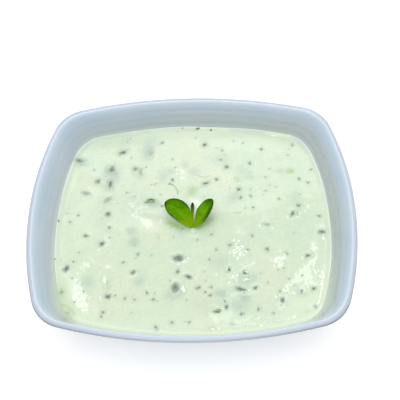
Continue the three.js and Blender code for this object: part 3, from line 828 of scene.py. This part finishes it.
def dip_tints(x, y, from_wall, bead, groove, pieces, strengths):
    """How much of each tint, painted light, painted highlight and painted shade shows at each point: the
    strongest of its patches there, most of them with ragged edges. Painted light also lightens the dip
    along the wall, where the wall's shade falls, the bead's painted highlight is stronger towards the far
    side, the groove behind it holds a little painted shade, and the pieces in the surface tint the dip
    blue-grey round them."""
    ragged_x, ragged_y = x + ripples(x, y, *RAGGED_ALONG), y + ripples(x, y, *RAGGED_ACROSS)
    thin = strongest_blot(x, y, PALE_PATCHES, 3, PALE_PATCHES[:, 5])
    # Sunk cucumber, and the painted shadow under the left leaf with two broad darker patches.
    sunk = strongest_blot(ragged_x, ragged_y, SUNK_PIECES, 1.2, 0.34 * SUNK_PIECES[:, 5])
    shaded = strongest_blot(ragged_x, ragged_y, pieces, 1.3, 0.4 * strengths)
    return {
        # Painted light: lighter along the wall, where its shade falls, and in the listed patches.
        "thin": np.maximum(thin, 0.6 * np.exp(-from_wall / 3)),
        # Painted highlight on the bead, stronger towards the far side.
        "bead": bead * (0.5 + 0.5 * smoothstep(15, 45, y)),
        # Small white painted glints.
        "curd": strongest_blot(ragged_x, ragged_y, CURDS, 0.25, CURDS[:, 5]),
        # Also painted shade in the groove behind the bead.
        "shade": np.maximum(np.maximum(sunk, shaded), 0.12 * groove),
        "core": strongest_blot(ragged_x, ragged_y, pieces, 0.25, strengths),
        # Green stains, and painted green shadow round the sprig's foot.
        "green": strongest_blot(ragged_x, ragged_y, GREEN_STAINS, 1, GREEN_STAINS[:, 5]),
    }


def make_dip(pieces, strengths):
    """The dip: a fine height field over the bowl's inside, whose edge reaches just into the wall, closed
    by a side that follows the wall down and by a flat bottom."""
    u, v, x, y, from_wall = dip_grid()
    bead, groove = wall_bead(x, y, from_wall)
    height = dip_height(x, y, from_wall)
    height += BEAD_HEIGHT * bead - BEAD_HEIGHT * groove
    top = np.stack([x, y, height], -1).reshape(-1, 3)
    number = np.arange(len(top)).reshape(x.shape)
    top_faces = np.stack([number[:-1, :-1], number[:-1, 1:], number[1:, 1:], number[1:, :-1]], -1)
    edge = np.concatenate([number[0, :-1], number[:-1, -1], number[-1, :0:-1], number[:0:-1, 0]])
    edge_u, edge_v = u.ravel()[edge], v.ravel()[edge]
    share, _ = square_share(edge_u, edge_v)
    side_x, side_y = quarter_outline(wall_inset(DIP_SIDE) - SIDE_IN_WALL, DIP_SIDE, share)
    side = np.stack(np.broadcast_arrays(np.sign(edge_u) * side_x, np.sign(edge_v) * side_y, DIP_SIDE), -1)
    points = np.concatenate([top, side.reshape(-1, 3), [[0, 0, DIP_SIDE[-1, 0]]]])
    loops = np.concatenate([edge[None], len(top) + np.arange(side_x.size).reshape(side_x.shape)])
    upper, lower = loops[:-1], loops[1:]
    side_faces = np.stack([upper, lower, np.roll(lower, -1, 1), np.roll(upper, -1, 1)], -1)
    last = loops[-1]
    bottom_faces = np.stack([np.full(len(last), len(points) - 1), np.roll(last, -1), last], -1)
    dip = make_piece(
        "tzatziki", points, [top_faces.reshape(-1, 4), side_faces.reshape(-1, 4), bottom_faces],
        [yoghurt_dip()], replaced=["tzatziki_dip"],
    )
    untinted = np.zeros(len(points) - len(top))
    for name, values in dip_tints(x, y, from_wall, bead, groove, pieces, strengths).items():
        add_attribute(dip, name, np.concatenate([values.ravel(), untinted]))


# ---- what lies in the dip ----

def flake_rows():
    """The small flakes as rows of flat pieces."""
    length = FLAKES[:, 2]
    turn = 180 * draw(np.arange(len(FLAKES)), 4)
    return np.stack([FLAKES[:, 0], FLAKES[:, 1], turn, length, length * FLAKE_SLIMNESS], -1)


def speck_rows():
    """Fine specks as rows of flat pieces, drawn in the outline itself: a drawn turn round it, and a share
    of the way out that spreads them evenly over the area."""
    index = np.arange(SPECK_COUNT)
    x, y = outline(wall_inset(FILL_LEVEL) + 1.5, FILL_LEVEL, 4 * draw(index, 21))
    share = np.sqrt(draw(index, 22))
    length = SPECK_SHORTEST + (SPECK_LONGEST - SPECK_SHORTEST) * draw(index, 23) ** 2
    return np.stack([x * share, y * share, 180 * draw(index, 24), length, length * SPECK_SLIMNESS], -1)


def piece_strengths(flake_count, speck_count):
    """How strongly each large piece, flake and speck tints the dip over and round it."""
    large = np.full(len(LARGE_PIECES), 0.6)
    large[DARK_PIECES] = 0.85
    large[list(FAINT_PIECES)] = list(FAINT_PIECES.values())
    large[CUCUMBER] = 0.35
    small = 0.25 + 0.35 * draw(np.arange(flake_count), 41)
    finest = 0.12 + 0.3 * draw(np.arange(speck_count), 42)
    return np.concatenate([large, small, finest])


def make_scraps(name, rows, material, thickness, lift, kind, around=16, up=9):
    """Flat scraps in the dip, one closed skin each, whose middles the lift puts over its surface or, where
    it is negative, under it. A scrap is an ellipsoid flattened to its size, whose outline swells and
    shrinks by three drawn waves round it and whose top is dented by another. Points carry how bare of dip
    they are, which side of the scrap they are on, and the scrap's own tone."""
    count = len(rows)
    index = np.arange(count)[:, None, None]
    latitude = np.linspace(-math.pi / 2, math.pi / 2, up + 2)[1:-1, None]
    angle = circle(around)
    edge = 1 + sum(
        0.36 / (wave + 1) * np.sin((wave + 1) * angle + 2 * math.pi * draw(index, kind + wave))
        for wave in (1, 2, 3)
    )
    x, y, turn, length, width = (rows[:, k][:, None, None] for k in range(5))
    flat = np.cos(latitude) ** 0.7 * edge
    local_x = flat * np.cos(angle) * length / 2
    local_y = flat * np.sin(angle) * width / 2
    dent = 0.3 * np.sin(2.6 * local_x + 6 * draw(index, kind + 4)) * np.cos(2.2 * local_y)
    rise = np.sin(latitude) + dent * np.cos(latitude) ** 2
    c, s = np.cos(np.radians(turn)), np.sin(np.radians(turn))
    base = surface_height(rows[:, 0], rows[:, 1])[:, None, None] + lift
    rings = np.stack(np.broadcast_arrays(
        x + local_x * c - local_y * s, y + local_x * s + local_y * c, base + rise * thickness / 2,
    ), -1)
    poles = np.stack([rows[:, 0], rows[:, 1], base[:, 0, 0]], -1)
    half = np.array([0, 0, thickness / 2])
    points = np.concatenate([
        (poles - half)[:, None], rings.reshape(count, -1, 3), (poles + half)[:, None],
    ], 1)
    quads, fans = skin_faces(up, around)
    start = (np.arange(count) * points.shape[1])[:, None, None]
    faces = [(quads[None] + start).reshape(-1, 4), (fans[None] + start).reshape(-1, 3)]
    piece = make_piece(
        name, points.reshape(-1, 3), faces, [material], replaced=["tzatziki_dip"],
    )
    side = np.broadcast_to(0.5 + local_y / width, rings.shape[:-1]).reshape(count, -1)
    ends = np.full((count, 1), 0.5)
    add_attribute(piece, "side", np.concatenate([ends, side, ends], 1).ravel())
    bare = smoothstep(-lift / thickness * 2, 1, (points[..., 2] - base[:, 0]) / (thickness / 2))
    add_attribute(piece, "bare", bare.ravel())
    add_attribute(piece, "tone", np.repeat(draw(np.arange(count), kind + 5), points.shape[1]))


def make_threads():
    """The dill threads, half sunk in the dip: a thin round tube along a spline through each route, that
    tapers towards both ends."""
    around = 6
    points, faces, dryness, start = [], [], [], 0
    for route, radius, dried in THREADS:
        line = catmull_rom(route, 6)
        middle = np.column_stack([line, surface_height(line[:, 0], line[:, 1])])
        share = np.linspace(0, 1, len(middle))[:, None]
        rings, _ = tube(middle, radius * (1 - 0.5 * abs(2 * share - 1) ** 3), circle(around))
        skin = skin_points(middle[0], rings, middle[-1])
        points.append(skin)
        faces += skin_faces(len(middle), around, start)
        dryness.append(np.full(len(skin), dried))
        start += len(skin)
    piece = make_piece(
        "dill_threads", np.concatenate(points), faces, [dill_thread()],
        replaced=["tzatziki_dip"],
    )
    add_attribute(piece, "dried", np.concatenate(dryness))


# ---- the mint sprig ----

def make_leaf(name, leaf, material):
    """A leaf blade: u runs along its midrib, a quadratic curve by way of the bend, and w goes once round
    its section, so that v = -cos w runs across the upper face and back across the lower one. The half
    width follows a lopsided sine with fine teeth. The blade lifts by a fold along the midrib and a wave at
    the margin; veins are grooves, and the skin between them swells."""
    u = np.linspace(0, 1, LEAF_STEPS)[:, None]
    w = circle(LEAF_AROUND)
    v = -np.cos(w)
    share = u[..., None]
    base, bend, tip = leaf["base"], leaf["bend"], leaf["tip"]
    midrib = (1 - share) ** 2 * base + 2 * share * (1 - share) * bend + share**2 * tip
    along = unit((1 - share) * (bend - base) + share * (tip - bend))
    sideways = turned(unit(np.cross(along, VIEW_SIDE)), along, leaf["roll"])
    face = np.cross(sideways, along)
    bulge = np.maximum(np.sin(math.pi * u ** leaf["widest"]), 0) ** leaf["fullness"]
    teeth = 1 + 0.02 * np.abs(np.sin(TEETH * math.pi * u)) * abs(v) ** 6
    half = np.maximum(leaf["half_width"] * bulge, 0.35) * teeth
    out = abs(v) * half
    wave = leaf["wave"] * v**2 * bulge * np.sin(9 * u + leaf["wave_shift"] * np.sign(v))
    order = VEIN_PAIRS * (u - 0.05) - 0.4 * out
    between = order - np.round(order)
    side_veins = hump(between, 0, 0.09) * smoothstep(1, 0.6, abs(v))
    vein = np.maximum(hump(out, 0, 0.42 - 0.22 * u), 0.6 * side_veins)
    swell = SKIN_SWELL * np.cos(math.pi * between) ** 2 * smoothstep(1, 0.7, abs(v)) * bulge
    skin = LEAF_THICKNESS / 2 * np.minimum(1, 2.5 * abs(np.sin(w))) ** 0.7 * np.sign(np.sin(w))
    lift = leaf["fold"] * out + wave + skin + swell - VEIN_DEPTH * vein
    rings = midrib + sideways * (v * half)[..., None] + face * lift[..., None]
    points = skin_points(rings[0].mean(0), rings, rings[-1].mean(0))
    piece = make_piece(
        name, points, skin_faces(LEAF_STEPS, LEAF_AROUND), [material], replaced=["mint_sprig"],
    )
    # Painted shade on the right half and the tip, as strong as the leaf's setting.
    right_half = smoothstep(0, 0.8, v) * smoothstep(0.2, 0.6, u)
    tints = {
        "vein": vein,
        "young": smoothstep(0.45, 0.02, u) * np.ones_like(v),
        "margin": smoothstep(0.2, 0.6, u) * smoothstep(0.8, 0.98, np.maximum(abs(v), 2.2 * u - 1.2)),
        "deep": leaf["deep"] * np.maximum(right_half, smoothstep(0.7, 0.95, u)),
    }
    for tint, values in tints.items():
        add_attribute(piece, tint, np.concatenate([values[:1, 0], values.ravel(), values[-1:, 0]]))


def make_shoot(material):
    """The shoot: a tube round a spline from under the dip to the bud, square with round corners as mint
    stems are, narrowing upwards and swelling at the bud."""
    route = catmull_rom([
        SPRIG_FOOT + [0, -0.4, -SHOOT_SUNK],
        SPRIG_FOOT,
        SPRIG_FOOT + (SHOOT_TIP - SPRIG_FOOT) * 0.45 + [0, -0.5, 0.9],
        SHOOT_TIP,
    ], 24)
    share = np.linspace(0, 1, len(route))
    angle = circle(SHOOT_SIDES)
    radius = SHOOT_RADIUS - SHOOT_TAPER * share + BUD_SWELL * hump(share, BUD_AT, 0.12)
    rings, along = tube(route, radius[:, None] * (1 + 0.07 * np.cos(4 * angle)), angle)
    points = skin_points(route[0], rings, route[-1] + 0.6 * along[-1])
    piece = make_piece(
        "mint_shoot", points, skin_faces(len(route), SHOOT_SIDES), [material],
        replaced=["mint_sprig"],
    )
    add_attribute(piece, "height_share", np.concatenate([[0], np.repeat(share, SHOOT_SIDES), [1]]))


# ---- floor, light and camera ----

def point_along(holder, place, direction, turn):
    """Puts a camera or a light at its place in metres, facing along a direction and turned about it by an
    angle in degrees."""
    holder.location = place
    holder.rotation_mode = "QUATERNION"
    about_itself = Quaternion((0, 0, 1), math.radians(turn))
    holder.rotation_quaternion = direction.to_track_quat("-Z", "Y") @ about_itself


def make_camera():
    """A 50 mm lens on a 36 mm sensor, looking down over the bowl's near side."""
    camera = bpy.data.cameras.new("camera")
    camera.lens = 50
    camera.sensor_width = 36
    camera.clip_start = 0.01
    holder = new_object("camera", camera)
    point_along(holder, CAMERA_AT, CAMERA_LOOKS_AT - CAMERA_AT, CAMERA_ROLL)
    bpy.context.scene.camera = holder


def add_light(name, place, aimed, width, depth, turn, brightness):
    """A white rectangular area light at a place in millimetres, aimed at the dip or straight down and
    turned about its own axis. Its brightness is how many times brighter than a fully lit white card it
    looks."""
    light = bpy.data.lights.new(name, "AREA")
    light.shape = "RECTANGLE"
    light.size = width * MM
    light.size_y = depth * MM
    light.energy = brightness * math.pi * light.size * light.size_y
    place = Vector(place)
    target = Vector(LIGHTS_AIM) if aimed else Vector((place.x, place.y, 0))
    point_along(new_object(name, light), place * MM, (target - place) * MM, turn)


def make_stage():
    """A pale light table, an even white sky, two softboxes and the small lamps that make the glints."""
    mesh = bpy.data.meshes.new("tabletop")
    corners = [(x * TABLETOP_REACH, y * TABLETOP_REACH, 0) for x, y in ((-1, -1), (1, -1), (1, 1), (-1, 1))]
    mesh.from_pydata(corners, [], [(0, 1, 2, 3)])
    mesh.materials.append(opal_acrylic())
    tabletop = new_object("tabletop", mesh)
    world = bpy.data.worlds.new("studio")
    world.use_nodes = True
    background = world.node_tree.nodes["Background"]
    background.inputs["Color"].default_value = linear("#ffffff")
    background.inputs["Strength"].default_value = SKY_BRIGHTNESS
    bpy.context.scene.world = world
    for light in LIGHTS:
        add_light(*light)
    bpy.context.scene.view_settings.view_transform = "Standard"


# ---- everything in place ----

make_camera()
make_stage()
make_bowl()
flakes = flake_rows()
specks = speck_rows()
make_dip(np.concatenate([LARGE_PIECES, flakes, specks]), piece_strengths(len(flakes), len(specks)))
clumps = np.delete(LARGE_PIECES, CUCUMBER + list(FAINT_PIECES), 0)
shreds = LARGE_PIECES[CUCUMBER]
herb = chopped_herb()
cucumber = grated_cucumber()
make_scraps("herb_clumps", clumps * SHRUNK, herb, PIECE_THICKNESS, -0.3, kind=51, around=24, up=13)
make_scraps("cucumber_shreds", shreds, cucumber, PIECE_THICKNESS, -0.25, kind=52, around=28, up=15)
make_scraps("herb_flakes", flakes * SHRUNK, herb, PIECE_THICKNESS, -0.35, kind=53)
make_scraps("herb_specks", specks, herb, 0.5, -0.15, kind=54, around=10, up=5)
make_scraps("edge_bits", EDGE_BITS, herb, 0.8, 0.7, kind=57, around=12, up=7)
make_threads()
leaf_green = mint_leaf()
make_leaf("mint_leaf_left", LEFT_LEAF, leaf_green)
make_leaf("mint_leaf_right", RIGHT_LEAF, leaf_green)
make_shoot(mint_stem())
